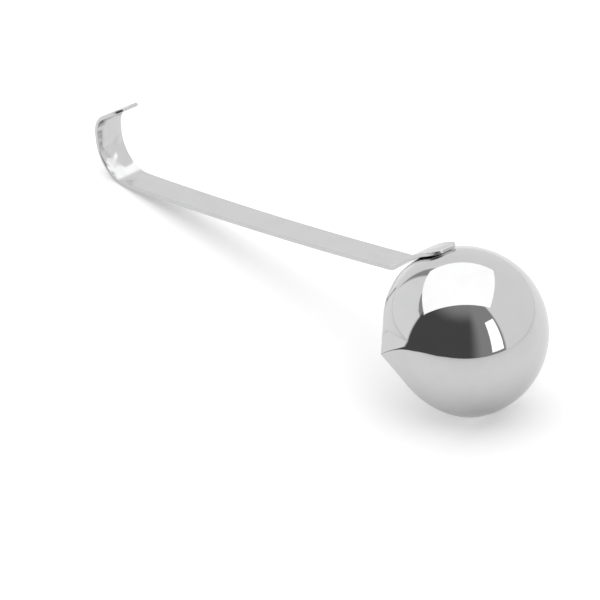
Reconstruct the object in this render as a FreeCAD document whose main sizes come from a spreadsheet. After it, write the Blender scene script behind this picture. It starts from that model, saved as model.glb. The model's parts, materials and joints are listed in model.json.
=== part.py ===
import FreeCAD, Part
import math
import os

import Sketcher
from FreeCAD import Placement, Rotation, Vector

# Small pouring ladle: a drawn ball of sheet steel with a pinched pouring lip, and a bent
# flat strap welded to its side.  Both bodies are drawn in the bowl's own frame, where the
# ball's centre is the origin, +Z is the way the bowl opens and +X is the handle's side,
# and are then laid down together as the ladle comes to rest on a table.

os.makedirs("parts", exist_ok=True)

DRIVING_SIZES = (
    ("bowlRadius", 32.0, "outer radius of the drawn ball"),
    ("bowlWall", 1.0, "sheet of the bowl"),
    ("rimRise", 3.3, "rim plane past the ball's centre, along the bowl's axis"),
    ("spoutReach", 3.47, "tip of the lip beyond the ball, in the rim plane"),
    ("spoutAngle", 9.9, "lip turned from square towards the handle, degrees"),
    ("keelDrop", 20.0, "depth below the ball's centre where the lip's keel has faded"),
    ("lipInset", 0.15, "depth inside the ball from which the lip's flanks rise"),
    ("lipRadius", 0.7, "outside corner of the keel at the rim"),
    ("keelRadius", 9.0, "outside corner of the keel where it fades"),
    ("strapWidth", 12.5, "width of the handle's strap"),
    ("strapGauge", 1.5, "thickness of the strap"),
    ("seatGap", 0.05, "weld film between the tab and the ball"),
    ("seatAngle", 8.0, "weld point below the ball's widest circle, degrees"),
    ("tabRadius", 80.0, "seat side radius of the tab's gentle curve"),
    ("tabReach", 12.8, "weld point to the tab's rounded end"),
    ("tabRun", 16.0, "weld point to the bend at the rim"),
    ("bendRadius", 5.25, "inside radius of the bend at the rim"),
    ("bendAngle", 32.3, "turn of the bend at the rim, degrees"),
    ("strapSweep", 2530.0, "inside radius of the strap's slight bow"),
    ("strapRun", 162.6, "length of the strap between bend and hook"),
    ("hookRadius", 13.9, "inside radius of the hook's back"),
    ("hookAngle", 94.6, "turn of the hook's back, degrees"),
    ("hookRise", 3.0, "straight piece between the hook's two bends"),
    ("noseRadius", 9.6, "inside radius of the hook's nose"),
    ("noseAngle", 61.9, "turn of the hook's nose, degrees"),
    ("noseReach", 13.6, "straight piece at the end of the hook"),
    ("cornerRadius", 6.0, "rounding of the strap's ends, seen from above"),
    ("edgeBreak", 0.2, "broken long edges of the strap"),
)
LIP_STATIONS = 5  # cross-sections of the lofted lip, from where the keel fades to the rim


def fill_sheet(doc):
    """Spreadsheet of driving dimensions, one named row each."""
    sheet = doc.addObject("Spreadsheet::Sheet", "Dims")
    for row, (alias, size, note) in enumerate(DRIVING_SIZES, start=1):
        sheet.set(f"A{row}", alias)
        sheet.set(f"B{row}", str(size))
        sheet.set(f"C{row}", note)
        sheet.setAlias(f"B{row}", alias)
    doc.recompute()
    return sheet


def value_of(sheet, expression):
    return float(sheet.evalExpression(expression))


def new_body(doc, name):
    body = doc.addObject("PartDesign::Body", name)
    body.Label = name
    return body


def sketch_on(body, role, name):
    """Sketch attached to one of the body's own origin planes."""
    plane = next(item for item in body.Origin.OriginFeatures if item.Role == role)
    sketch = body.newObject("Sketcher::SketchObject", name)
    sketch.AttachmentSupport = [(plane, "")]
    sketch.MapMode = "FlatFace"
    return sketch


def bind(sketch, kind, places, expression, name):
    """One named dimension of a sketch, driven by the sheet."""
    size = value_of(sketch.Document.Dims, expression)
    if kind == "Angle":
        size = math.radians(size)
    index = sketch.addConstraint(Sketcher.Constraint(kind, *places, size))
    sketch.renameConstraint(index, name)
    sketch.setExpression(f"Constraints.{name}", expression)


def point_at(centre, radius, angle):
    return Vector(centre.x + radius * math.cos(angle), centre.y + radius * math.sin(angle), 0)


def arc_geometry(centre, radius, start, end):
    return Part.ArcOfCircle(Part.Circle(centre, Vector(0, 0, 1), radius), start, end)


# ---- bowl -------------------------------------------------------------------------------

def draw_ball_profile(body, name, radius):
    """Half section of the ball up to the rim plane, closed on the axis."""
    ball = value_of(body.Document.Dims, radius)
    rise = value_of(body.Document.Dims, "Dims.rimRise")
    edge = math.sqrt(ball**2 - rise**2)
    sketch = sketch_on(body, "XZ_Plane", name)
    rim_inside = Vector(0, rise, 0)
    rim_outside = Vector(edge, rise, 0)
    pole = Vector(0, -ball, 0)
    arc = sketch.addGeometry(arc_geometry(Vector(), ball, -math.pi / 2, math.atan2(rise, edge)))
    rim = sketch.addGeometry(Part.LineSegment(rim_outside, rim_inside))
    axis = sketch.addGeometry(Part.LineSegment(rim_inside, pole))
    sketch.addConstraint(Sketcher.Constraint("Coincident", arc, 3, -1, 1))
    sketch.addConstraint(Sketcher.Constraint("Coincident", arc, 2, rim, 1))
    sketch.addConstraint(Sketcher.Constraint("Coincident", rim, 2, axis, 1))
    sketch.addConstraint(Sketcher.Constraint("Coincident", axis, 2, arc, 1))
    sketch.addConstraint(Sketcher.Constraint("PointOnObject", axis, 1, -2))
    sketch.addConstraint(Sketcher.Constraint("PointOnObject", axis, 2, -2))
    sketch.addConstraint(Sketcher.Constraint("Horizontal", rim))
    bind(sketch, "Radius", (arc,), radius, "ball")
    bind(sketch, "DistanceY", (-1, 1, rim, 1), "Dims.rimRise", "rise")
    return sketch


def lip_section(share, radius, corner_cut):
    """Expressions of one cross-section: its height, circle, corner and corner's place.

    The section is a circle drawn out to a corner by two flanks that touch it.  The corner
    stands proud of the ball by an amount that grows with the square of the height, so the
    keel leaves the ball smoothly, and it sharpens towards the rim.
    """
    height = f"({share} * (Dims.rimRise + Dims.keelDrop) - Dims.keelDrop)"
    ball_circle = f"sqrt(({radius})^2 - {height}^2)"
    circle = f"({ball_circle} - Dims.lipInset)"
    rim_circle = "sqrt(Dims.bowlRadius^2 - Dims.rimRise^2)"
    corner_reach = f"({rim_circle} + Dims.spoutReach - Dims.lipRadius)"
    rim_apex = f"({corner_reach} / (1 - Dims.lipRadius / {rim_circle}))"
    proud = f"(1 + ({rim_apex} / {rim_circle} - 1) * {share}^2)"
    outside_corner = f"(Dims.keelRadius + {share} * (Dims.lipRadius - Dims.keelRadius))"
    corner = f"max({outside_corner} - {corner_cut}; Dims.lipRadius / 2)"
    corner_place = f"({ball_circle} * {proud} - {corner} * {proud})"
    return height, circle, corner, corner_place


def draw_lip_section(body, name, share, radius, corner_cut):
    """Closed teardrop sketch, square to the bowl's axis: circle, two flanks and a corner."""
    sheet = body.Document.Dims
    height, circle, corner, corner_place = lip_section(share, radius, corner_cut)
    ball = value_of(sheet, circle)
    tip = value_of(sheet, corner)
    reach = value_of(sheet, corner_place)
    touch = math.acos((ball - tip) / reach)
    origin = Vector(0, 0, 0)
    tip_centre = Vector(reach, 0, 0)

    sketch = sketch_on(body, "XY_Plane", name)
    lip_direction = value_of(sheet, "Dims.spoutAngle") - 90
    sketch.AttachmentOffset = Placement(
        Vector(0, 0, value_of(sheet, height)), Rotation(Vector(0, 0, 1), lip_direction)
    )
    sketch.setExpression(".AttachmentOffset.Base.z", height)
    sketch.setExpression(".AttachmentOffset.Rotation.Yaw", "Dims.spoutAngle - 90")

    back = sketch.addGeometry(arc_geometry(origin, ball, touch, 2 * math.pi - touch))
    flank_in = sketch.addGeometry(
        Part.LineSegment(point_at(origin, ball, -touch), point_at(tip_centre, tip, -touch))
    )
    nose = sketch.addGeometry(arc_geometry(tip_centre, tip, -touch, touch))
    flank_out = sketch.addGeometry(
        Part.LineSegment(point_at(tip_centre, tip, touch), point_at(origin, ball, touch))
    )
    sketch.addConstraint(Sketcher.Constraint("Coincident", back, 3, -1, 1))
    sketch.addConstraint(Sketcher.Constraint("PointOnObject", nose, 3, -1))
    sketch.addConstraint(Sketcher.Constraint("Tangent", back, 2, flank_in, 1))
    sketch.addConstraint(Sketcher.Constraint("Tangent", flank_in, 2, nose, 1))
    sketch.addConstraint(Sketcher.Constraint("Tangent", nose, 2, flank_out, 1))
    sketch.addConstraint(Sketcher.Constraint("Tangent", flank_out, 2, back, 1))
    bind(sketch, "Radius", (back,), circle, "ball")
    bind(sketch, "Radius", (nose,), corner, "corner")
    bind(sketch, "DistanceX", (-1, 1, nose, 3), corner_place, "cornerPlace")
    return sketch


def draw_lip_sections(body, prefix, radius, corner_cut):
    shares = [step / (LIP_STATIONS - 1) for step in range(LIP_STATIONS)]
    return [
        draw_lip_section(body, f"{prefix}{step}", share, radius, corner_cut)
        for step, share in enumerate(shares)
    ]


def spin(body, kind, name, profile):
    feature = body.newObject(kind, name)
    feature.Profile = profile
    feature.ReferenceAxis = (profile, ["V_Axis"])
    feature.Angle = 360
    return feature


def loft(body, kind, name, sections):
    feature = body.newObject(kind, name)
    feature.Profile = sections[0]
    feature.Sections = sections[1:]
    feature.Ruled = False
    return feature


def make_bowl(doc):
    """Drawn ball with its pouring lip, hollowed by the same shapes one sheet smaller."""
    body = new_body(doc, "bowl")
    outside = "Dims.bowlRadius"
    inside = "(Dims.bowlRadius - Dims.bowlWall)"
    ball = draw_ball_profile(body, "ballOutside", outside)
    spin(body, "PartDesign::Revolution", "ball", ball)
    doc.recompute()
    plain_volume = body.Shape.Volume
    lip = draw_lip_sections(body, "lipOutside", outside, "0")
    loft(body, "PartDesign::AdditiveLoft", "lip", lip)
    doc.recompute()
    solid_volume = body.Shape.Volume
    hollow = draw_ball_profile(body, "ballInside", inside)
    spin(body, "PartDesign::Groove", "ballHollow", hollow)
    doc.recompute()
    ball_volume = body.Shape.Volume
    mouth = draw_lip_sections(body, "lipInside", inside, "Dims.bowlWall")
    loft(body, "PartDesign::SubtractiveLoft", "lipHollow", mouth)
    doc.recompute()
    if not (plain_volume < solid_volume and body.Shape.Volume < ball_volume < solid_volume / 2):
        raise RuntimeError("the lip was not raised or the bowl was not hollowed")
    return body


# ---- handle -----------------------------------------------------------------------------

class StrapSide:
    """One face line of the strap's side view: arcs and lines that run on from each other."""

    def __init__(self, sketch, start, heading):
        self.sketch = sketch
        self.point = start
        self.heading = heading
        self.legs = []

    def join(self, geometry, start_end, far_end):
        index = self.sketch.addGeometry(geometry)
        if self.legs:
            before, _, joint = self.legs[-1]
            self.sketch.addConstraint(Sketcher.Constraint("Tangent", before, joint, index, start_end))
        self.legs.append((index, start_end, far_end))
        return index

    def arc(self, radius, turn):
        """Arc of a signed turn in degrees, positive to the left of the way it runs."""
        side = math.copysign(1, turn)
        centre = point_at(self.point, radius, self.heading + side * math.pi / 2)
        first = self.heading - side * math.pi / 2
        last = first + math.radians(turn)
        self.point = point_at(centre, radius, last)
        self.heading += math.radians(turn)
        if side > 0:
            return self.join(arc_geometry(centre, radius, first, last), 1, 2)
        return self.join(arc_geometry(centre, radius, last, first), 2, 1)

    def line(self, length):
        start = self.point
        self.point = point_at(start, length, self.heading)
        return self.join(Part.LineSegment(start, self.point), 1, 2)


def draw_strap_side(body):
    """Side view of the bent strap, from the tab on the ball to the nose of the hook."""
    doc = body.Document
    sheet = doc.Dims
    dim = {alias: value_of(sheet, f"Dims.{alias}") for alias, _, _ in DRIVING_SIZES}
    gauge = dim["strapGauge"]
    seat = dim["bowlRadius"] + dim["seatGap"]
    seat_angle = -math.radians(dim["seatAngle"])
    tab_back = math.degrees(2 * math.asin(dim["tabReach"] / (2 * dim["tabRadius"])))
    tab_fore = math.degrees(2 * math.asin(dim["tabRun"] / (2 * dim["tabRadius"])))
    bow = math.degrees(2 * math.asin(dim["strapRun"] / (2 * dim["strapSweep"])))
    tab_centre = point_at(Vector(), seat - dim["tabRadius"], seat_angle)
    first_angle = seat_angle - math.radians(tab_back)
    heading = first_angle + math.pi / 2

    sketch = sketch_on(body, "XZ_Plane", "strapSide")
    sides = []
    for offset in (0.0, gauge):
        side = StrapSide(sketch, point_at(tab_centre, dim["tabRadius"] + offset, first_angle), heading)
        grow = gauge - offset
        side.tab = side.arc(dim["tabRadius"] + offset, tab_back + tab_fore)
        side.bend = side.arc(dim["bendRadius"] + grow, -dim["bendAngle"])
        side.strap = side.arc(dim["strapSweep"] + grow, -bow)
        side.hook = side.arc(dim["hookRadius"] + grow, -dim["hookAngle"])
        side.rise = side.line(dim["hookRise"])
        side.nose = side.arc(dim["noseRadius"] + grow, -dim["noseAngle"])
        side.end = side.line(dim["noseReach"])
        sides.append(side)
    under, over = sides

    def start_point(side):
        return sketch.getPoint(side.legs[0][0], side.legs[0][1])

    tab_cap = sketch.addGeometry(Part.LineSegment(start_point(under), start_point(over)))
    nose_cap = sketch.addGeometry(Part.LineSegment(under.point, over.point))
    for side, spot in ((under, 1), (over, 2)):
        sketch.addConstraint(Sketcher.Constraint("Coincident", tab_cap, spot, *side.legs[0][:2]))
        sketch.addConstraint(Sketcher.Constraint("Coincident", nose_cap, spot, side.end, 2))
    sketch.addConstraint(Sketcher.Constraint("PointOnObject", under.tab, 3, tab_cap))
    sketch.addConstraint(Sketcher.Constraint("Perpendicular", nose_cap, over.end))
    sketch.addConstraint(Sketcher.Constraint("Parallel", under.end, over.end))
    for leg in ("tab", "bend", "strap", "hook", "nose"):
        sketch.addConstraint(
            Sketcher.Constraint("Coincident", getattr(under, leg), 3, getattr(over, leg), 3)
        )

    seat_point = point_at(Vector(), seat, seat_angle)
    spoke = sketch.addGeometry(Part.LineSegment(Vector(), seat_point), True)
    sketch.addConstraint(Sketcher.Constraint("Coincident", spoke, 1, -1, 1))
    sketch.addConstraint(Sketcher.Constraint("PointOnObject", spoke, 2, under.tab))
    sketch.addConstraint(Sketcher.Constraint("PointOnObject", under.tab, 3, spoke))
    bind(sketch, "Distance", (spoke,), "Dims.bowlRadius + Dims.seatGap", "seat")
    bind(sketch, "Angle", (spoke, 1, -1, 1), "Dims.seatAngle", "seatAngle")
    bind(sketch, "Radius", (under.tab,), "Dims.tabRadius", "tabCurve")
    bind(sketch, "Radius", (over.tab,), "Dims.tabRadius + Dims.strapGauge", "tabBack")
    bind(sketch, "Distance", (spoke, 2, under.tab, 1), "Dims.tabReach", "tabReach")
    bind(sketch, "Distance", (spoke, 2, under.tab, 2), "Dims.tabRun", "tabRun")
    bind(sketch, "Radius", (over.bend,), "Dims.bendRadius", "bendInside")
    bind(sketch, "Angle", (over.bend,), "Dims.bendAngle", "bendAngle")
    bind(sketch, "Radius", (over.strap,), "Dims.strapSweep", "strapSweep")
    bind(sketch, "Distance", (over.strap, 1, over.strap, 2), "Dims.strapRun", "strapRun")
    bind(sketch, "Radius", (over.hook,), "Dims.hookRadius", "hookInside")
    bind(sketch, "Angle", (over.hook,), "Dims.hookAngle", "hookAngle")
    bind(sketch, "Distance", (over.rise,), "Dims.hookRise", "hookRise")
    bind(sketch, "Radius", (over.nose,), "Dims.noseRadius", "noseInside")
    bind(sketch, "Radius", (under.nose,), "Dims.noseRadius + Dims.strapGauge", "noseBack")
    bind(sketch, "Angle", (over.nose,), "Dims.noseAngle", "noseAngle")
    bind(sketch, "Distance", (over.end,), "Dims.noseReach", "noseReach")
    return sketch, over.hook




def thickness_edges(shape, width, gauge):
    """Edges that run straight through the sheet at the strap's two sides."""
    names = []
    for number, edge in enumerate(shape.Edges, start=1):
        first, last = (vertex.Point for vertex in edge.Vertexes)
        on_side = abs(abs(first.y) - width / 2) < 1e-4 and abs(first.y - last.y) < 1e-4
        if on_side and abs(edge.Length - gauge) < 1e-4:
            names.append(f"Edge{number}")
    return names


def outline_edges(shape, width):
    """One long edge of each broad face; the rest of its outline runs on from it."""
    lengths = [
        (edge.Length, f"Edge{number}")
        for number, edge in enumerate(shape.Edges, start=1)
        if all(abs(vertex.Y - width / 2) < 1e-4 for vertex in edge.Vertexes)
    ]
    return [name for _, name in sorted(lengths)[-2:]]


def make_handle(doc):
    """Flat strap bent along its side view, with rounded ends and broken edges."""
    body = new_body(doc, "handle")
    side_view, hook_back = draw_strap_side(body)
    strap = body.newObject("PartDesign::Pad", "strap")
    strap.Profile = side_view
    strap.SideType = "Symmetric"
    strap.setExpression("Length", "Dims.strapWidth")
    doc.recompute()
    width = value_of(doc.Dims, "Dims.strapWidth")
    gauge = value_of(doc.Dims, "Dims.strapGauge")

    ends = body.newObject("PartDesign::Fillet", "roundedEnds")
    ends.Base = (strap, thickness_edges(strap.Shape, width, gauge))
    ends.setExpression("Radius", "min(Dims.cornerRadius; 0.48 * Dims.strapWidth)")
    doc.recompute()

    broken = body.newObject("PartDesign::Chamfer", "brokenEdges")
    broken.Base = (ends, outline_edges(ends.Shape, width))
    broken.setExpression("Size", "min(Dims.edgeBreak; 0.2 * Dims.strapGauge)")
    doc.recompute()
    if not body.Shape.Volume < ends.Shape.Volume < strap.Shape.Volume:
        raise RuntimeError("the strap's ends or edges were not cut")
    return body, side_view.getPoint(hook_back, 3)


# ---- at rest on a table -----------------------------------------------------------------

def rest_tilt(doc, hook_centre):
    """Turn about Y, in degrees, that lays the far side of the rim and the hook's back level."""
    rim_circle = value_of(doc.Dims, "sqrt(Dims.bowlRadius^2 - Dims.rimRise^2)")
    rim_far = Vector(-rim_circle, value_of(doc.Dims, "Dims.rimRise"), 0)
    hook_back = value_of(doc.Dims, "Dims.hookRadius + Dims.strapGauge")
    across = hook_centre - rim_far
    climb = math.asin(hook_back / across.Length)
    drawn = math.atan2(across.y, across.x)
    return math.degrees(drawn - (math.pi - climb))


def lay_down(bodies, tilt):
    """Turn both bodies together and stand the middle of their box on the origin."""
    turned = Placement(Vector(0, 0, 0), Rotation(Vector(0, 1, 0), tilt))
    for body in bodies:
        body.Placement = turned
    box = FreeCAD.BoundBox()
    for body in bodies:
        box.add(body.Shape.optimalBoundingBox(False, False))
    middle = Vector(box.Center.x, box.Center.y, box.ZMin)
    for body in bodies:
        body.Placement = Placement(middle * -1, turned.Rotation)


def check(doc, bodies):
    for item in doc.Objects:
        if "Invalid" in item.State or "Error" in item.State:
            raise RuntimeError(f"{item.Label} failed: {item.State}")
    for body in bodies:
        if body.Shape.isNull() or not body.Shape.isValid() or len(body.Shape.Solids) != 1:
            raise RuntimeError(f"{body.Label} is not one sound solid")


def main():
    doc = FreeCAD.newDocument("PouringLadle")
    fill_sheet(doc)
    bowl = make_bowl(doc)
    handle, hook_centre = make_handle(doc)
    bodies = (bowl, handle)
    lay_down(bodies, rest_tilt(doc, hook_centre))
    doc.recompute()
    check(doc, bodies)
    for body in bodies:
        body.Shape.exportStep(os.path.join("parts", f"{body.Label}.step"))
        print(body.Label, round(body.Shape.Volume, 1), "mm3")


main()
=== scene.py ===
import json
import math

import bmesh
import bpy
import numpy as np
from mathutils import Matrix, Vector


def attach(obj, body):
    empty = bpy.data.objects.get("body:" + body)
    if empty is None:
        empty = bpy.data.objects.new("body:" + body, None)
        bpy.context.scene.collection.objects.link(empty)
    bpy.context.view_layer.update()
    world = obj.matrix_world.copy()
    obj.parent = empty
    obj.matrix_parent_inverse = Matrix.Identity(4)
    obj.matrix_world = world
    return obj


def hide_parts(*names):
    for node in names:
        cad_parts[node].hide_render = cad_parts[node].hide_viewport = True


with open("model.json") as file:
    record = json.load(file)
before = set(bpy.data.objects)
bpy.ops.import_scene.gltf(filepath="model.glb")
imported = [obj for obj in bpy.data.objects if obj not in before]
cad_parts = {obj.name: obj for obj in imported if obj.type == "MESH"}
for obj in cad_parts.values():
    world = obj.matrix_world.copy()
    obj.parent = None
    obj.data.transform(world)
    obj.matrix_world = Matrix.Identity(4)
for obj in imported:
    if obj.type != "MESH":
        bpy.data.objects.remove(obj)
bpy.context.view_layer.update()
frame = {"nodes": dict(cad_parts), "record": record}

mm = 0.001
print("frame loaded:", sorted(frame["nodes"]))


# ladle lies on the far side of its rim and on the hook's back; sizes in mm, angles in degrees
bowlShape = {
    "radius": 32.0,
    "wall": 1.0,
    "rimRise": 3.3,
    "rimRound": 0.2,
    "spoutReach": 3.47,
    "spoutAngle": 9.9,
    "lipRadius": 0.9,
    "lipInset": 0.15,
    "lipBlend": 0.15,
    "keelDrop": 20.0,
    "keelRadius": 20.0,
    "keelGrowth": 3.0,
    "keelFading": 1.45,
    "keelLean": 30.0,
    "keelTurning": 2.5,
    "footSink": 0.16,
    "footFading": 6.0,
    "backColumns": 150,
    "flankColumns": 44,
    "flankSpread": 38.0,
    "flankEase": 1.25,
    "noseColumns": 15,
    "noseSpread": 2.6,
    "domeRows": 56,
    "lipRows": 78,
    "rimRows": 4,
}

strapShape = {
    "width": 12.5,
    "gauge": 1.5,
    "seatGap": 0.05,
    "seatAngle": 8.0,
    "tabRadius": 80.0,
    "tabTurn": 18.6,
    "tabRun": 16.0,
    "bendRadius": 5.25,
    "bendAngle": 32.3,
    "sweep": 2530.0,
    "run": 162.6,
    "hookRadius": 13.9,
    "hookAngle": 94.6,
    "hookRise": 3.0,
    "noseRadius": 9.6,
    "noseAngle": 61.9,
    "noseReach": 11.2,
    "endCorners": (3.0, 6.0),
    "edgeRound": 0.3,
    "arcStep": 1.5,
    "longStep": 2.0,
    "rowGap": 0.2,
    "cornerSteps": 14,
    "roundSteps": 4,
}


def chordTurn(chord, radius):
    return 2 * math.asin(chord / (2 * radius))


def strapLegs(shape, ballRadius):
    # middle of the gauge, from the tab's end to the nose, in the bowl's frame (x, z); turns are signed
    half = shape["gauge"] / 2
    seat = ballRadius + shape["seatGap"]
    seatAngle = -math.radians(shape["seatAngle"])
    hug = math.radians(shape["tabTurn"])
    fore = chordTurn(shape["tabRun"], shape["tabRadius"])
    bow = chordTurn(shape["run"], shape["sweep"])
    first = seatAngle - hug
    start = (seat + half) * np.array([math.cos(first), math.sin(first)])
    legs = [
        (seat + half, hug),
        (shape["tabRadius"] + half, fore),
        (shape["bendRadius"] + half, -math.radians(shape["bendAngle"])),
        (shape["sweep"] + half, -bow),
        (shape["hookRadius"] + half, -math.radians(shape["hookAngle"])),
        (shape["hookRise"], 0.0),
        (shape["noseRadius"] + half, -math.radians(shape["noseAngle"])),
        (shape["noseReach"], 0.0),
    ]
    return start, first + math.pi / 2, legs


def walkLegs(start, heading, legs):
    # one record a leg: run at its start, length, start point, heading, signed curvature
    walked, run, point = [], 0.0, np.array(start)
    for size, turn in legs:
        length = size if turn == 0 else size * abs(turn)
        bend = 0.0 if turn == 0 else math.copysign(1 / size, turn)
        walked.append((run, length, point, heading, bend))
        if bend == 0:
            point = point + length * np.array([math.cos(heading), math.sin(heading)])
        else:
            side = np.array([-math.sin(heading), math.cos(heading)]) / bend
            ahead = heading + turn
            point = point + side - np.array([-math.sin(ahead), math.cos(ahead)]) / bend
        run += length
        heading += turn
    return walked


def pathAt(walked, run):
    # point and heading of the path at a run along it
    leg = walked[0]
    for entry in walked:
        if run >= entry[0] - 1e-9:
            leg = entry
    begin, _, point, heading, bend = leg
    ahead = heading + bend * (run - begin)
    if bend == 0:
        return point + (run - begin) * np.array([math.cos(heading), math.sin(heading)]), ahead
    side = np.array([-math.sin(heading), math.cos(heading)]) / bend
    return point + side - np.array([-math.sin(ahead), math.cos(ahead)]) / bend, ahead


walkedStrap = walkLegs(*strapLegs(strapShape, bowlShape["radius"]))


def restPose(bowl, strap, walked):
    # turn about Y and shift that lay the bowl's frame down on the table
    hookRun, _, hookStart, hookHeading, hookBend = walked[4]
    hookCentre = hookStart + np.array([-math.sin(hookHeading), math.cos(hookHeading)]) / hookBend
    rimFar = np.array([-math.sqrt(bowl["radius"] ** 2 - bowl["rimRise"] ** 2), bowl["rimRise"]])
    across = hookCentre - rimFar
    climb = math.asin((strap["hookRadius"] + strap["gauge"]) / np.linalg.norm(across))
    tilt = math.atan2(across[1], across[0]) - (math.pi - climb)
    turn = np.array([
        [math.cos(tilt), 0, math.sin(tilt)],
        [0, 1, 0],
        [-math.sin(tilt), 0, math.cos(tilt)],
    ])
    hookMount = next(m for m in frame["record"]["mounts"] if m["name"] == "hanging_hook")
    shift = np.array(hookMount["pos_m"]) / mm - turn @ np.array([hookCentre[0], 0, hookCentre[1]])
    return turn, shift


restTurn, restShift = restPose(bowlShape, strapShape, walkedStrap)


def toWorld(points):
    # bowl's frame in mm to the object's frame in metres
    return (np.asarray(points) @ restTurn.T + restShift) * mm


ballCentre = toWorld([0, 0, 0])
print("ball centre at", np.round(ballCentre, 5))


class Wire:
    # one output socket of a node tree: sums on it add Math nodes
    def __init__(self, bench, socket):
        self.bench = bench
        self.socket = socket

    def sum(self, operation, *others):
        return self.bench.add("ShaderNodeMath", {"operation": operation}, dict(enumerate((self, *others))))

    def __add__(self, other):
        return self.sum("ADD", other)

    def __sub__(self, other):
        return self.sum("SUBTRACT", other)

    def __mul__(self, other):
        return self.sum("MULTIPLY", other)

    def __truediv__(self, other):
        return self.sum("DIVIDE", other)

    def __rsub__(self, other):
        return self.bench.value(other).sum("SUBTRACT", self)

    __radd__ = __add__
    __rmul__ = __mul__

    def step(self, low, high, outLow=0.0, outHigh=1.0):
        # smooth step from outLow to outHigh
        return self.bench.add(
            "ShaderNodeMapRange",
            {"interpolation_type": "SMOOTHSTEP"},
            {"Value": self, "From Min": low, "From Max": high, "To Min": outLow, "To Max": outHigh},
        )


class Bench:
    # a node tree and the one way nodes are added to it
    def __init__(self, tree):
        self.tree = tree
        self.tree.nodes.clear()

    def add(self, kind, settings=None, inputs=None, output=0):
        node = self.tree.nodes.new(kind)
        for key, setting in (settings or {}).items():
            setattr(node, key, setting)
        for key, source in (inputs or {}).items():
            if isinstance(key, str):
                key = next(i for i, socket in enumerate(node.inputs) if socket.name == key and socket.enabled)
            self.feed(node.inputs[key], source)
        if len(node.outputs) == 0:
            return node
        if output == "Result":
            return Wire(self, next(socket for socket in node.outputs if socket.enabled))
        return Wire(self, node.outputs[output])

    def feed(self, socket, source):
        if isinstance(source, Wire):
            self.tree.links.new(source.socket, socket)
        else:
            socket.default_value = source

    def value(self, number):
        wire = self.add("ShaderNodeValue")
        wire.socket.default_value = number
        return wire

    def vectorSum(self, operation, first, second, output=0):
        return self.add("ShaderNodeVectorMath", {"operation": operation}, {0: first, 1: second}, output)


# roughness from clean to hazy; scales per metre; ripple and crown of the bent hook in units of waveHeight
steelFinish = {
    "colour": (0.665, 0.665, 0.67),
    "waveSize": 0.024,
    "waveHeight": 0.000010,
    "bowlRough": (0.018, 0.05),
    "insideRough": (0.10, 0.17),
    "outsideRings": 0.05,
    "insideRings": 0.12,
    "ringScale": 5200.0,
    "ringWander": 1.5,
    "bowlHaze": 70.0,
    "bowlTint": 0.96,
    "strapRough": (0.19, 0.25),
    "strapLines": (60.0, 9000.0),
    "strapWaves": (34.0, 60.0),
    "strapHaze": 2.3,
    "strapTint": 0.965,
    "bentFrom": 0.196,
    "bentFully": 0.208,
    "ripple": 200.0,
    "rippleScale": (95.0, 130.0),
    "crown": 38.0,
}


def startSteel(name):
    material = bpy.data.materials.new(name)
    material.use_nodes = True
    return material, Bench(material.node_tree)


def noise(bench, where, scale, detail, roughness=0.5):
    return bench.add(
        "ShaderNodeTexNoise",
        {"noise_dimensions": "3D"},
        {"Vector": where, "Scale": scale, "Detail": detail, "Roughness": roughness},
        "Fac",
    )


def finishSteel(bench, colour, rough, height):
    bump = bench.add(
        "ShaderNodeBump",
        {},
        {"Height": height, "Strength": 1.0, "Distance": steelFinish["waveHeight"]},
        "Normal",
    )
    steel = bench.add(
        "ShaderNodeBsdfPrincipled",
        {},
        {"Base Color": colour, "Metallic": 1.0, "Roughness": rough, "Normal": bump},
    )
    bench.add("ShaderNodeOutputMaterial", {}, {"Surface": steel})


def tintSteel(bench, mask, shade):
    # clean steel darkened a little where the mask is high
    clean = (*steelFinish["colour"], 1.0)
    dull = (*(c * shade for c in steelFinish["colour"]), 1.0)
    return bench.add(
        "ShaderNodeMix", {"data_type": "RGBA"}, {"Factor": mask, "A": clean, "B": dull}, "Result"
    )


def bowlSteel(name, roughRange, ringShare):
    # drawn and buffed sheet: long soft waves, faint rings round the bowl's axis, a little haze
    material, bench = startSteel(name)
    where = bench.add("ShaderNodeTexCoord", {}, {}, "Object")
    fromCentre = bench.vectorSum("SUBTRACT", where, tuple(ballCentre))
    axis = tuple(restTurn @ np.array([0, 0, 1.0]))
    depth = bench.vectorSum("DOT_PRODUCT", fromCentre, axis, "Value")
    waves = noise(bench, fromCentre, 1 / steelFinish["waveSize"], 1.0)
    along = bench.add(
        "ShaderNodeCombineXYZ",
        {},
        {"X": depth * steelFinish["ringScale"], "Y": waves * steelFinish["ringWander"], "Z": 0.0},
    )
    rings = noise(bench, along, 1.0, 3.0, 0.7)
    haze = noise(bench, fromCentre, steelFinish["bowlHaze"], 5.0, 0.62).step(0.42, 0.72)
    rough = haze * (roughRange[1] - roughRange[0]) + roughRange[0]
    height = waves * (1.0 - ringShare) + rings * ringShare
    finishSteel(bench, tintSteel(bench, haze, steelFinish["bowlTint"]), rough, height)
    return material


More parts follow.
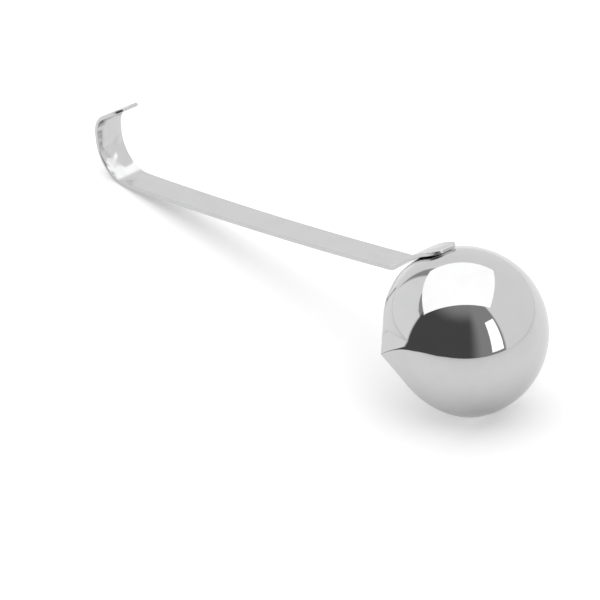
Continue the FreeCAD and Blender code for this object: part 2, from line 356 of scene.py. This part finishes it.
def strapSteel(name):
    # cold rolled strip, polished lengthwise: lines run along the strap, the bent hook is uneven and crowned
    material, bench = startSteel(name)
    strapMap = bench.add("ShaderNodeUVMap", {"uv_map": "strapMap"}, {}, "UV")
    run = bench.add("ShaderNodeSeparateXYZ", {}, {0: strapMap})
    across = Wire(bench, run.socket.node.outputs["Y"])

    def spot(scales, layer):
        scaled = {"X": run * scales[0], "Y": across * scales[1], "Z": layer}
        return bench.add("ShaderNodeCombineXYZ", {}, scaled)

    lines = noise(bench, spot(steelFinish["strapLines"], 0.0), 1.0, 3.0, 0.65)
    waveSpot = spot(steelFinish["strapWaves"], 0.0)
    waves = noise(bench, waveSpot, 1.0, 1.0)
    haze = noise(bench, waveSpot, steelFinish["strapHaze"], 5.0, 0.6).step(0.40, 0.70)
    low, high = steelFinish["strapRough"]
    rough = haze * (high - low) * 0.6 + lines * (high - low) * 0.4 + low
    bent = run.step(steelFinish["bentFrom"], steelFinish["bentFully"])
    ripples = noise(bench, spot(steelFinish["rippleScale"], 4.2), 1.0, 1.5, 0.4) * bent
    edge = strapShape["width"] / 2 * mm
    crown = across * across * bent * (steelFinish["crown"] / edge**2)
    height = waves * 0.93 + lines * 0.07 + ripples * steelFinish["ripple"] - crown
    finishSteel(bench, tintSteel(bench, haze, steelFinish["strapTint"]), rough, height)
    return material


outsideSteel = bowlSteel("buffedSteel", steelFinish["bowlRough"], steelFinish["outsideRings"])
insideSteel = bowlSteel("satinSteel", steelFinish["insideRough"], steelFinish["insideRings"])
stripSteel = strapSteel("polishedStrip")
print("steel finishes made")


def keelShare(shape, height):
    # 0 at the keel's foot, 1 at the rim
    return np.clip((height + shape["keelDrop"]) / (shape["rimRise"] + shape["keelDrop"]), 0.0, 1.0)


def spoutRadius(shape, inner, around, height):
    # distance of the wall from the bowl's axis, at an angle from the spout and a height
    ball = shape["radius"] - (shape["wall"] if inner else 0.0)
    circle = np.sqrt(np.maximum(ball**2 - height**2, 0.0))
    share = keelShare(shape, height)
    rimCircle = math.sqrt(shape["radius"] ** 2 - shape["rimRise"] ** 2)
    lip = shape["lipRadius"]
    apex = (rimCircle + shape["spoutReach"] - lip) / (1 - lip / rimCircle)
    proud = 1 + (apex / rimCircle - 1) * share ** shape["keelGrowth"]
    corner = lip + (shape["keelRadius"] - lip) * (1 - share) ** shape["keelFading"]
    if inner:
        corner = np.maximum(corner - shape["wall"], lip / 2)
    base = circle - shape["lipInset"]
    place = np.maximum((circle - corner) * proud, 1e-6)
    touch = np.arccos(np.clip((base - corner) / place, -1.0, 1.0))
    angle = np.abs(around)
    noseEdge = np.arctan2(corner * np.sin(touch), place + corner * np.cos(touch))
    nose = place * np.cos(angle) + np.sqrt(np.maximum(corner**2 - (place * np.sin(angle)) ** 2, 0.0))
    flank = base / np.maximum(np.cos(touch - angle), 0.2)  # straight from the nose to the ball
    lipWall = np.where(angle < noseEdge, nose, np.where(angle < touch, flank, base))
    lipWall = lipWall - shape["footSink"] * (1 - share) ** shape["footFading"]
    lipWall = np.where(height > -shape["keelDrop"], lipWall, circle - shape["wall"])
    blend = shape["lipBlend"]
    close = np.maximum(blend - np.abs(lipWall - circle), 0.0) / blend
    return np.maximum(lipWall, circle) + close**2 * blend / 4


def columnAngles(shape):
    # close together on the lip's nose, wider on its flanks, widest round the back
    nose = np.radians(shape["noseSpread"])
    flank = np.radians(shape["flankSpread"])
    noseHalf = nose * np.linspace(0, 1, shape["noseColumns"] + 1)
    ease = np.linspace(0, 1, shape["flankColumns"] + 1)[1:] ** shape["flankEase"]
    flankHalf = nose + (flank - nose) * ease
    half = np.concatenate([noseHalf, flankHalf])
    back = np.linspace(flank, 2 * math.pi - flank, shape["backColumns"] + 1)[1:-1]
    return np.concatenate([half, back, 2 * math.pi - half[:0:-1]])


def rowHeights(shape, ball):
    low = math.asin(-shape["keelDrop"] / ball)
    dome = np.linspace(-math.pi / 2, low, shape["domeRows"] + 1)[1:]
    top = shape["rimRise"] - shape["rimRound"]
    lip = np.linspace(low, math.asin(top / ball), shape["lipRows"] + 1)[1:]
    return ball * np.sin(np.concatenate([dome, lip]))


def wallGrid(shape, inner):
    # rows of points from near the pole to the rim's rounding, in the bowl's frame
    ball = shape["radius"] - (shape["wall"] if inner else 0.0)
    angles = columnAngles(shape)
    signed = (angles + math.pi) % (2 * math.pi) - math.pi
    heights = rowHeights(shape, ball)
    rows = []
    for height in heights:
        reach = spoutRadius(shape, inner, signed, height)
        lean = shape["keelLean"] * (1 - keelShare(shape, height)) ** shape["keelTurning"]
        turned = angles + math.radians(shape["spoutAngle"] - lean) - math.pi / 2
        rows.append(np.stack([
            reach * np.cos(turned),
            reach * np.sin(turned),
            np.full_like(reach, height),
        ], axis=1))
    return np.array(rows), angles


def wallNormals(grid, outward):
    # cross product of the differences along the rows and along the columns
    around = np.roll(grid, -1, axis=1) - np.roll(grid, 1, axis=1)
    up = np.gradient(grid, axis=0)
    normals = np.cross(around, up)
    normals /= np.linalg.norm(normals, axis=2, keepdims=True)
    return normals * outward


def bowlSkin(shape):
    # points, normals, faces and material slots of the closed sheet: outside, rim, inside
    outer, angles = wallGrid(shape, False)
    inner, _ = wallGrid(shape, True)
    outerNormals, innerNormals = wallNormals(outer, 1.0), wallNormals(inner, -1.0)
    columns = len(angles)
    rounding = shape["rimRound"]
    upward = np.array([0, 0, 1.0])

    def rimRound(grid, normals):
        # quarter round from the wall's last row to the flat of the rim
        last, wall = grid[-1], normals[-1] * [1, 1, 0]
        wall = wall / np.linalg.norm(wall, axis=1, keepdims=True)
        rows, faces = [], []
        for step in range(1, shape["rimRows"] + 1):
            turn = math.pi / 2 * step / shape["rimRows"]
            rows.append(last - wall * rounding * (1 - math.cos(turn)) + upward * rounding * math.sin(turn))
            faces.append(wall * math.cos(turn) + upward * math.sin(turn))
        return rows, faces

    outerRim, outerRimNormals = rimRound(outer, outerNormals)
    innerRim, innerRimNormals = rimRound(inner, innerNormals)
    rows = list(outer) + outerRim + innerRim[::-1] + list(inner[::-1])
    normals = list(outerNormals) + outerRimNormals + innerRimNormals[::-1] + list(innerNormals[::-1])
    outerCount, rimCount = len(outer), len(outerRim)

    points = np.concatenate(rows)
    facing = np.concatenate(normals)
    poles = np.array([[0, 0, -shape["radius"]], [0, 0, shape["wall"] - shape["radius"]]])
    points = np.concatenate([points, poles])
    facing = np.concatenate([facing, [[0, 0, -1.0], [0, 0, 1.0]]])
    outerPole, innerPole = len(points) - 2, len(points) - 1

    faces, slots = [], []
    for row in range(len(rows) - 1):
        inside = row >= outerCount + rimCount - 1
        for column in range(columns):
            after = (column + 1) % columns
            faces.append((
                row * columns + column,
                row * columns + after,
                (row + 1) * columns + after,
                (row + 1) * columns + column,
            ))
            slots.append(1 if inside else 0)
    lastRow = (len(rows) - 1) * columns
    for column in range(columns):
        after = (column + 1) % columns
        faces.append((outerPole, after, column))
        slots.append(0)
        faces.append((innerPole, lastRow + column, lastRow + after))
        slots.append(1)
    return points, facing, faces, slots


def meshObject(name, points, faces, slots, materials):
    mesh = bpy.data.meshes.new(name)
    mesh.from_pydata([tuple(p) for p in points], [], faces)
    for material in materials:
        mesh.materials.append(material)
    mesh.polygons.foreach_set("material_index", slots)
    mesh.validate()
    piece = bpy.data.objects.new(name, mesh)
    bpy.context.scene.collection.objects.link(piece)
    return piece


def smoothWith(piece, facing):
    mesh = piece.data
    mesh.polygons.foreach_set("use_smooth", [True] * len(mesh.polygons))
    mesh.update()
    mesh.normals_split_custom_set_from_vertices([tuple(n) for n in facing])


points, facing, faces, slots = bowlSkin(bowlShape)
bowlPiece = meshObject("ladleBowl", toWorld(points), faces, slots, [outsideSteel, insideSteel])
smoothWith(bowlPiece, facing @ restTurn.T)
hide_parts("bowl")
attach(bowlPiece, "root")
print("bowl made:", len(bowlPiece.data.polygons), "faces")


def strapRows(shape, walked):
    # a list of rows for each side, +y then -y: run, half width and the outline's normal there
    half, total = shape["width"] / 2, walked[-1][0] + walked[-1][1]
    clear = max(shape["endCorners"]) + shape["rowGap"]
    runs = set()
    for begin, length, _, _, bend in walked:
        step = shape["longStep"]
        if abs(bend) > 0.001:
            step = min(step, math.radians(shape["arcStep"]) / abs(bend))
        count = max(2, math.ceil(length / step))
        runs.update(round(begin + length * i / count, 6) for i in range(count + 1))
    middle = [(run, half, 0.0, 1.0) for run in sorted(runs) if clear < run < total - clear]
    turns = [math.pi / 2 * i / shape["cornerSteps"] for i in range(shape["cornerSteps"] + 1)]
    sides = []
    for corner in shape["endCorners"]:
        tab = [
            (corner * (1 - math.cos(t)), half - corner + corner * math.sin(t), -math.cos(t), math.sin(t))
            for t in turns
        ]
        nose = [(total - run, width, -along, across) for run, width, along, across in tab[::-1]]
        sides.append(tab + middle + nose)
    return sides


def flatBlank(shape, sides):
    # closed blank: x along the run, y across, z through the gauge, edges rounded
    gauge, edge, steps = shape["gauge"] / 2, shape["edgeRound"], shape["roundSteps"]
    turns = [math.pi / 2 * (1 - i / steps) for i in range(steps + 1)]
    profile = [(edge * (1 - math.cos(t)), gauge - edge * (1 - math.sin(t)), t) for t in turns]
    profile += [(depth, -height, -turn) for depth, height, turn in profile[::-1]]
    points, facing = [], []
    for side, rows in zip((1, -1), sides):
        for run, half, alongRun, acrossRun in rows:
            for depth, height, turn in profile:
                points.append((run - alongRun * depth, side * (half - acrossRun * depth), height))
                flat = math.cos(turn)
                facing.append((alongRun * flat, side * acrossRun * flat, math.sin(turn)))
    count, depthCount = len(sides[0]), len(profile)

    def at(side, row, level):
        return (side * count + row) * depthCount + level

    faces = []
    for row in range(count - 1):
        for level in range(depthCount - 1):
            for side in (0, 1):
                faces.append((at(side, row, level), at(side, row + 1, level),
                              at(side, row + 1, level + 1), at(side, row, level + 1)))
        for level in (0, depthCount - 1):
            faces.append((at(0, row, level), at(0, row + 1, level), at(1, row + 1, level), at(1, row, level)))
    for row in (0, count - 1):
        for level in range(depthCount - 1):
            faces.append((at(0, row, level), at(0, row, level + 1), at(1, row, level + 1), at(1, row, level)))
    return points, facing, faces


def pathCurve(name, walked, sides):
    # poly line through every row's place on the strap's middle, laid at rest
    runs = sorted({row[0] for rows in sides for row in rows})
    curve = bpy.data.curves.new(name, "CURVE")
    curve.dimensions = "3D"
    spline = curve.splines.new("POLY")
    spline.points.add(len(runs) - 1)
    for point, run in zip(spline.points, runs):
        spot, _ = pathAt(walked, run)
        point.co = (*toWorld([spot[0], 0, spot[1]]), 1.0)
    path = bpy.data.objects.new(name, curve)
    bpy.context.scene.collection.objects.link(path)
    return path


def bendTree(material):
    # bends a flat blank along a path that lies in an upright plane
    tree = bpy.data.node_groups.new("bendAlongPath", "GeometryNodeTree")
    for label, kind in (("Blank", "NodeSocketGeometry"), ("Path", "NodeSocketObject"),
                        ("Length Scale", "NodeSocketFloat"), ("Width Scale", "NodeSocketFloat"),
                        ("Gauge Scale", "NodeSocketFloat")):
        tree.interface.new_socket(label, in_out="INPUT", socket_type=kind)
    tree.interface.new_socket("Strap", in_out="OUTPUT", socket_type="NodeSocketGeometry")
    bench = Bench(tree)
    blank = bench.add("NodeGroupInput")
    inputs = {socket.name: Wire(bench, socket) for socket in blank.socket.node.outputs if socket.name}
    path = bench.add("GeometryNodeObjectInfo", {"transform_space": "ORIGINAL"},
                     {"Object": inputs["Path"]}, "Geometry")
    flat = bench.add("ShaderNodeSeparateXYZ", {}, {0: bench.add("GeometryNodeInputPosition")})
    flatY = Wire(bench, flat.socket.node.outputs["Y"])
    flatZ = Wire(bench, flat.socket.node.outputs["Z"])
    sample = bench.add("GeometryNodeSampleCurve", {"mode": "LENGTH", "use_all_curves": True},
                       {"Curves": path, "Length": flat * inputs["Length Scale"]}, "Position")
    tangent = Wire(bench, sample.socket.node.outputs["Tangent"])
    acrossAxis = bench.add("ShaderNodeCombineXYZ", {}, {"X": 0.0, "Y": 1.0, "Z": 0.0})
    upAxis = bench.vectorSum("CROSS_PRODUCT", acrossAxis, tangent)

    def build(alongPart, acrossPart, upPart):
        across, up, along = (
            bench.add("ShaderNodeVectorMath", {"operation": "SCALE"}, {0: axis, "Scale": part})
            for axis, part in ((acrossAxis, acrossPart), (upAxis, upPart), (tangent, alongPart))
        )
        return bench.vectorSum("ADD", bench.vectorSum("ADD", across, up), along)

    offset = build(0.0, flatY * inputs["Width Scale"], flatZ * inputs["Gauge Scale"])
    place = bench.vectorSum("ADD", sample, offset)
    flatNormal = bench.add("GeometryNodeInputNamedAttribute", {"data_type": "FLOAT_VECTOR"},
                           {"Name": "flatNormal"}, "Attribute")
    normalX = bench.add("ShaderNodeSeparateXYZ", {}, {0: flatNormal})
    normalY = Wire(bench, normalX.socket.node.outputs["Y"])
    normalZ = Wire(bench, normalX.socket.node.outputs["Z"])
    bentNormal = build(normalX, normalY, normalZ)
    stored = bench.add("GeometryNodeStoreNamedAttribute", {"data_type": "FLOAT_VECTOR", "domain": "POINT"},
                       {"Geometry": inputs["Blank"], "Name": "bentNormal", "Value": bentNormal})
    moved = bench.add("GeometryNodeSetPosition", {}, {"Geometry": stored, "Position": place})
    real = bench.add("GeometryNodeRealizeInstances", {}, {"Geometry": moved})
    dressed = bench.add("GeometryNodeSetMaterial", {}, {"Geometry": real, "Material": material})
    bench.add("NodeGroupOutput", {}, {"Strap": dressed})
    return tree


def bentStrap(name, shape, walked, material):
    sides = strapRows(shape, walked)
    flatPoints, flatFacing, faces = flatBlank(shape, sides)
    blank = meshObject(name + "Blank", np.array(flatPoints) * mm, faces, [0] * len(faces), [material])
    flatNormal = blank.data.attributes.new("flatNormal", "FLOAT_VECTOR", "POINT")
    flatNormal.data.foreach_set("vector", np.array(flatFacing).ravel())
    strapMap = blank.data.uv_layers.new(name="strapMap")
    for loop in blank.data.loops:
        x, y, z = flatPoints[loop.vertex_index]
        strapMap.data[loop.index].uv = (x * mm, (y + math.copysign(z, y)) * mm)
    path = pathCurve(name + "Path", walked, sides)
    modifier = blank.modifiers.new("bend", "NODES")
    modifier.node_group = bendTree(material)
    settings = {"Path": path, "Length Scale": 1.0, "Width Scale": 1.0, "Gauge Scale": 1.0}
    for socket in modifier.node_group.interface.items_tree:
        if socket.in_out == "INPUT" and socket.name in settings:
            modifier[socket.identifier] = settings[socket.name]
    graph = bpy.context.evaluated_depsgraph_get()
    mesh = bpy.data.meshes.new_from_object(blank.evaluated_get(graph))
    blank.modifiers.remove(modifier)
    bpy.data.objects.remove(blank)
    bpy.data.objects.remove(path)
    mesh.name = name
    strap = bpy.data.objects.new(name, mesh)
    bpy.context.scene.collection.objects.link(strap)
    work = bmesh.new()
    work.from_mesh(mesh)
    bmesh.ops.recalc_face_normals(work, faces=work.faces)
    work.to_mesh(mesh)
    work.free()
    facing = np.zeros(len(mesh.vertices) * 3)
    mesh.attributes["bentNormal"].data.foreach_get("vector", facing)
    smoothWith(strap, facing.reshape(-1, 3))
    for spare in ("bentNormal", "flatNormal"):
        mesh.attributes.remove(mesh.attributes[spare])
    return strap


handlePiece = bentStrap("strapHandle", strapShape, walkedStrap, stripSteel)
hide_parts("handle")
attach(handlePiece, "root")
print("handle made:", len(handlePiece.data.polygons), "faces")


# glow is radiance, white is 1; turn is degrees to the right of straight back, height is degrees of elevation
studio = {
    "tableReach": 1.3,
    "tableColour": 0.80,
    "tableLift": 0.185,
    "shownColour": 0.95,
    "shownLift": 0.27,
    "softboxHeight": 0.80,
    "softboxGlow": 1.5,
    "stripFrom": (-4.5, 2.0),
    "stripTo": (11.5, 41.0),
    "stripAway": 1.3,
    "stripGlow": 1.5,
    "roomGlow": 0.08,
    "openingGlow": 0.35,
    "screenGlow": 0.3,
    "screenRight": (150.0, 170.0),
    "wallGlow": 0.9,
    "wallLeft": (-47.0, -43.0),
    "wallLean": 0.4,
    "wallRight": (118.0, 122.0),
    "cardGlow": 0.95,
    "cardLeft": (-108.0, -104.0),
    "cardRight": (-46.0, -42.0),
    "cardSlope": 0.33,
    "cardTop": 64.5,
    "ceilingFrom": (42.0, 66.0),
    "ceilingGlow": 0.2,
}

# corners of the overhead softbox, per unit of its height: away from the viewing side, to the right
softboxCorners = ((1.15, -0.87), (1.15, 0.64), (-0.31, 0.70), (-0.50, -1.33))

def lightBehindRays(bench):
    # 1 for rays that show a surface: straight from the camera, mirrored or through glass
    rays = bench.add("ShaderNodeLightPath", {}, {}, "Is Camera Ray")
    node = rays.socket.node
    seen = rays.sum("MAXIMUM", Wire(bench, node.outputs["Is Glossy Ray"]))
    return rays, seen.sum("MAXIMUM", Wire(bench, node.outputs["Is Transmission Ray"]))


def makeTable():
    mesh = bpy.data.meshes.new("tableTop")
    work = bmesh.new()
    bmesh.ops.create_circle(work, cap_ends=True, segments=96, radius=studio["tableReach"])
    work.to_mesh(mesh)
    work.free()
    table = bpy.data.objects.new("tableTop", mesh)
    bpy.context.scene.collection.objects.link(table)
    material = bpy.data.materials.new("matteTable")
    material.use_nodes = True
    bench = Bench(material.node_tree)
    isCamera, seen = lightBehindRays(bench)
    tone = isCamera * (studio["shownColour"] - studio["tableColour"]) + studio["tableColour"]
    lift = seen * studio["tableLift"] + isCamera * (studio["shownLift"] - studio["tableLift"])
    matte = bench.add("ShaderNodeBsdfDiffuse", {}, {"Color": tone})
    glow = bench.add("ShaderNodeEmission", {}, {"Strength": lift})
    both = bench.add("ShaderNodeAddShader", {}, {0: matte, 1: glow})
    bench.add("ShaderNodeOutputMaterial", {}, {"Surface": both})
    mesh.materials.append(material)
    return table


def direction(azimuth, elevation=0.0):
    a, e = math.radians(azimuth), math.radians(elevation)
    return Vector((math.cos(e) * math.cos(a), math.cos(e) * math.sin(a), math.sin(e)))


def areaLamp(name, middle, facing, up, width, height, glow):
    lamp = bpy.data.lights.new(name, "AREA")
    lamp.shape = "RECTANGLE"
    lamp.size, lamp.size_y = width, height
    lamp.energy = glow * math.pi * width * height
    holder = bpy.data.objects.new(name, lamp)
    bpy.context.scene.collection.objects.link(holder)
    back = -facing.normalized()
    side = up.cross(back).normalized()
    holder.matrix_world = basis(side, back.cross(side), back, middle)
    holder.visible_camera = False
    return holder


def basis(xAxis, yAxis, zAxis, origin):
    return Matrix((
        (xAxis.x, yAxis.x, zAxis.x, origin.x),
        (xAxis.y, yAxis.y, zAxis.y, origin.y),
        (xAxis.z, yAxis.z, zAxis.z, origin.z),
        (0, 0, 0, 1),
    ))


def makeSoftboxes(centre):
    # overhead softbox, a flat glowing panel; then a tall strip light at the right
    high = studio["softboxHeight"]
    back, right = direction(135), direction(45)
    corners = [centre + (back * b + right * r + Vector((0, 0, 1))) * high for b, r in softboxCorners]
    mesh = bpy.data.meshes.new("overheadSoftbox")
    mesh.from_pydata([tuple(c) for c in corners], [], [(0, 1, 2, 3)])
    softbox = bpy.data.objects.new("overheadSoftbox", mesh)
    bpy.context.scene.collection.objects.link(softbox)
    material = bpy.data.materials.new("softboxCloth")
    material.use_nodes = True
    bench = Bench(material.node_tree)
    glow = bench.add("ShaderNodeEmission", {}, {"Strength": studio["softboxGlow"]})
    bench.add("ShaderNodeOutputMaterial", {}, {"Surface": glow})
    mesh.materials.append(material)
    softbox.visible_camera = False
    (fromAz, fromEl), (toAz, toEl) = studio["stripFrom"], studio["stripTo"]
    away = studio["stripAway"]
    low = away * math.tan(math.radians(fromEl))
    top = away * math.tan(math.radians(toEl))
    outward = direction((fromAz + toAz) / 2)
    spot = centre + outward * away + Vector((0, 0, (low + top) / 2))
    wide = 2 * away * math.tan(math.radians((toAz - fromAz) / 2))
    areaLamp("stripLight", spot, -outward, Vector((0, 0, 1)), wide, top - low, studio["stripGlow"])


def makeWorld():
    # studio by direction: dark room on the viewing side, pale card at the left, pale wall behind, with a dim
    # opening between them, and grey screen at the right
    world = bpy.data.worlds.new("studioWalls")
    bpy.context.scene.world = world
    world.use_nodes = True
    bench = Bench(world.node_tree)
    isCamera, _ = lightBehindRays(bench)
    towards = bench.add("ShaderNodeTexCoord", {}, {}, "Generated")
    back = bench.vectorSum("DOT_PRODUCT", towards, tuple(direction(135)), "Value")
    right = bench.vectorSum("DOT_PRODUCT", towards, tuple(direction(45)), "Value")
    rise = bench.vectorSum("DOT_PRODUCT", towards, (0, 0, 1), "Value")
    turn = right.sum("ARCTAN2", back) * (180 / math.pi)
    elevation = rise.sum("ARCSINE") * (180 / math.pi)
    # the card's top falls towards the viewing side; the wall's left end leans to the right
    cardEdge = turn * studio["cardSlope"] + studio["cardTop"]
    pastCard = turn.step(*studio["cardLeft"])
    belowEdge = (elevation - cardEdge).step(-1.0, 1.0, 1.0, 0.0)
    card = pastCard * turn.step(*studio["cardRight"], 1.0, 0.0) * belowEdge
    pastWall = turn.step(*studio["wallRight"])
    wall = (turn - elevation * studio["wallLean"]).step(*studio["wallLeft"]) * (1.0 - pastWall)
    screen = pastWall * turn.step(*studio["screenRight"], 1.0, 0.0)
    # each piece stands before the ones above it in this list
    pieces = (
        (pastCard * (1.0 - pastWall), "openingGlow"),
        (screen, "screenGlow"),
        (wall, "wallGlow"),
        (card, "cardGlow"),
    )
    level = elevation.step(*studio["ceilingFrom"]) * studio["ceilingGlow"] + studio["roomGlow"]
    for mask, glow in pieces:
        level = level * (1.0 - mask) + mask * studio[glow]
    shown = level * (1.0 - isCamera) + isCamera
    backdrop = bench.add("ShaderNodeBackground", {}, {"Color": (1.0, 1.0, 1.0, 1.0), "Strength": shown})
    bench.add("ShaderNodeOutputWorld", {}, {"Surface": backdrop})


view = {
    "azimuth": 139.25,
    "fall": 33.33,
    "lens": 255.58,
    "distance": 1.574,
    "aimLeft": 0.06012,
    "aimAbove": 0.0119,
}


def makeCamera(centre):
    # long lens from above, the bowl right of the middle and the hook at the upper left
    ahead = direction(view["azimuth"], -view["fall"])
    right = ahead.cross(Vector((0, 0, 1))).normalized()
    up = right.cross(ahead)
    spot = centre - ahead * view["distance"] - right * view["aimLeft"] + up * view["aimAbove"]
    lens = bpy.data.cameras.new("viewCamera")
    lens.sensor_width = 36.0
    lens.lens = view["lens"]
    lens.clip_end = 100.0
    camera = bpy.data.objects.new("viewCamera", lens)
    bpy.context.scene.collection.objects.link(camera)
    camera.matrix_world = basis(right, up, -ahead, spot)
    bpy.context.scene.camera = camera


centre = Vector(ballCentre)
makeTable()
makeSoftboxes(centre)
makeWorld()
makeCamera(centre)
bpy.context.scene.view_settings.view_transform = "Standard"
print("table, studio and camera set")
